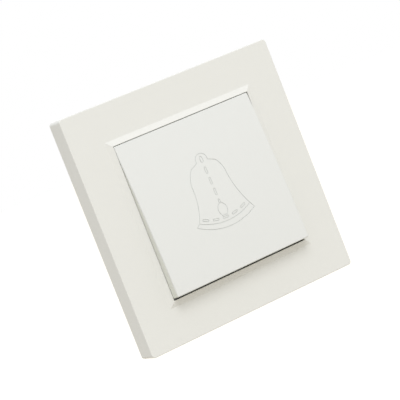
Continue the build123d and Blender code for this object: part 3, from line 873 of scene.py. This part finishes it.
@dataclass
class SwitchInsert:
    """Bearing frame and mechanism housing with the four screws that hold them."""

    housing_plastic: MouldedPlastic = MouldedPlastic(
        "insert_plastic_graphite", (0.045, 0.047, 0.050), 0.48, cloud=0.12
    )
    screw_x: float = 16.5 * MM
    screw_z: float = 17.5 * MM
    screw_steel: BareMetal = BareMetal(
        "strap_screw_steel", (0.60, 0.60, 0.60), 0.30, Lay.TURNED, heads_at=(screw_x, screw_z)
    )

    def dress(self) -> None:
        """Gives the insert its dark plastic and the screws their steel."""
        dress(self.housing_plastic.material(), "bearing_frame", "mechanism_housing")
        dress(self.screw_steel.material(), "strap_screws")


@dataclass
class ContactSet:
    """Terminals, blade, contacts, clamp plates and terminal screws."""

    brass: BareMetal = BareMetal("terminal_brass_strip", (0.76, 0.58, 0.27), 0.28, Lay.ROLLED)
    bronze: BareMetal = BareMetal("blade_bronze_strip", (0.72, 0.47, 0.28), 0.28, Lay.ROLLED)
    silver: BareMetal = BareMetal(
        "contact_silver", (0.80, 0.79, 0.77), 0.22, Lay.SPANGLE, mark_size=0.6 * MM, contrast=0.04
    )
    clamp_zinc: BareMetal = BareMetal(
        "clamp_zinc_plate", (0.64, 0.63, 0.58), 0.36, Lay.SPANGLE, mark_size=1.0 * MM, contrast=0.06
    )
    screw_z: float = 13.0 * MM
    screw_steel: BareMetal = BareMetal(
        "terminal_screw_steel", (0.62, 0.61, 0.58), 0.30, Lay.TURNED, heads_at=(0.0, screw_z)
    )

    def dress(self) -> None:
        """Gives each metal piece its own finish."""
        dress(self.brass.material(), "common_terminal", "fixed_terminal")
        dress(self.bronze.material(), "contact_blade")
        dress(self.silver.material(), "fixed_contact", "moving_contact")
        dress(self.clamp_zinc.material(), "common_clamp", "fixed_clamp")
        dress(self.screw_steel.material(), "common_screw", "fixed_screw")


@dataclass
class Studio:
    """Pale floor, soft light and the camera at the photograph's angle, in degrees and metres."""

    azimuth_deg: float = -27.387
    elevation_deg: float = 4.384
    roll_deg: float = -21.528
    distance: float = 0.616765
    aim_right: float = 0.000209
    aim_up: float = -0.000958
    lens_mm: float = 160.987
    clip_near: float = 0.01
    clip_far: float = 20.0
    floor_drop: float = 0.16
    floor_side: float = 8.0
    floor_tone: Colour = (0.54, 0.50, 0.43)
    floor_cloud: float = 0.02
    floor_cloud_size: float = 0.4
    floor_glow: float = 0.62
    sky: float = 0.793
    sky_slope: AxisValues = (0.104, 0.052, 0.161)
    key_direction: AxisValues = (-0.095, -0.68, 0.74)
    key_distance: float = 2.4
    key_side: float = 1.2
    key_level: float = 0.449

    def lay_floor(self) -> None:
        """Lays a pale floor well below the part, which hangs as on a wall; from below the floor is clear."""
        Bench.clear()
        bpy.ops.mesh.primitive_plane_add(size=self.floor_side, location=(0.0, 0.0, -self.floor_drop))
        floor = bpy.context.object
        floor.name = "studio_floor"
        sheet = MaterialSheet("floor_paper")
        cloud = sheet.noise(self.floor_cloud_size)
        tone = sheet.blend(cloud, *spread(self.floor_tone, self.floor_cloud))
        paper = sheet.node("ShaderNodeBsdfDiffuse", inputs={"Color": tone})
        glow = sheet.node("ShaderNodeEmission", inputs={"Strength": self.floor_glow})
        white = sheet.node("ShaderNodeAddShader", inputs={0: paper, 1: glow})
        shown = sheet.node("ShaderNodeMixShader", inputs={0: seen_rays(sheet), 1: paper, 2: white})
        from_below = sheet.node("ShaderNodeNewGeometry", output="Backfacing")
        clear = sheet.node("ShaderNodeBsdfTransparent")
        sided = sheet.node("ShaderNodeMixShader", inputs={0: from_below, 1: shown, 2: clear})
        sheet.feed(sheet.tree.nodes["Material Output"], {"Surface": sided})
        floor.data.materials.append(sheet.material)
        Bench.clear()

    def light_sky(self) -> None:
        """Lights the part from all round, brighter from above and the right, on a white background."""
        world = bpy.data.worlds.new("studio_sky")
        bpy.context.scene.world = world
        world.use_nodes = True
        sheet = NodeSheet(world.node_tree)
        ray = sheet.node("ShaderNodeTexCoord", output="Generated")
        slope = sheet.node(
            "ShaderNodeVectorMath", {"operation": "DOT_PRODUCT"}, {0: ray, 1: self.sky_slope}, "Value"
        )
        tent = self.sky + slope
        level = tent + (1.0 - tent) * seen_rays(sheet)
        background = world.node_tree.nodes["Background"]
        sheet.feed(background, {"Color": (1.0, 1.0, 1.0, 1.0), "Strength": level})

    def hang_key(self) -> None:
        """Hangs one large soft lamp above and in front, a little to the left."""
        lamp = bpy.data.lights.new("key_softbox", "AREA")
        lamp.shape = "SQUARE"
        lamp.size = self.key_side
        lamp.energy = self.key_level * (math.pi * self.key_distance) ** 2
        key = bpy.data.objects.new("key_softbox", lamp)
        bpy.context.scene.collection.objects.link(key)
        direction = Vector(self.key_direction).normalized()
        key.location = direction * self.key_distance
        key.rotation_mode = "QUATERNION"
        key.rotation_quaternion = direction.to_track_quat("Z", "Y")
        key.visible_camera = False

    def set_camera(self) -> None:
        """Puts the camera where the photograph was taken from."""
        lens = bpy.data.cameras.new("photo_camera")
        lens.lens = self.lens_mm
        lens.clip_start, lens.clip_end = self.clip_near, self.clip_far
        camera = bpy.data.objects.new("photo_camera", lens)
        bpy.context.scene.collection.objects.link(camera)
        azimuth, elevation = math.radians(self.azimuth_deg), math.radians(self.elevation_deg)
        back = Vector(
            (
                math.sin(azimuth) * math.cos(elevation),
                -math.cos(azimuth) * math.cos(elevation),
                math.sin(elevation),
            )
        )
        level_right = Vector((0.0, 0.0, 1.0)).cross(back).normalized()
        right = Matrix.Rotation(math.radians(self.roll_deg), 3, back) @ level_right
        up = back.cross(right)
        turn = Matrix((right, up, back)).transposed()
        spot = right * self.aim_right + up * self.aim_up + back * self.distance
        camera.matrix_world = Matrix.Translation(spot) @ turn.to_4x4()
        bpy.context.scene.camera = camera

    def set_up(self) -> None:
        """Makes the whole studio."""
        self.lay_floor()
        self.light_sky()
        self.hang_key()
        self.set_camera()
        bpy.context.scene.view_settings.view_transform = "Standard"


def main() -> None:
    """Builds and dresses each sub-assembly, sets up the studio and notes the sizes."""
    logging.basicConfig(level=logging.INFO, format="%(message)s")
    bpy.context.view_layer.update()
    cradle, strap = Cradle(), StrapAssembly()
    cradle.build()
    strap.build()
    for assembly in (CoverFrame(), RockerCap(), cradle, strap, SwitchInsert(), ContactSet()):
        assembly.dress()
        LOG.info("%s: done", type(assembly).__name__)
    Studio().set_up()


if __name__ == "__main__":
    main()
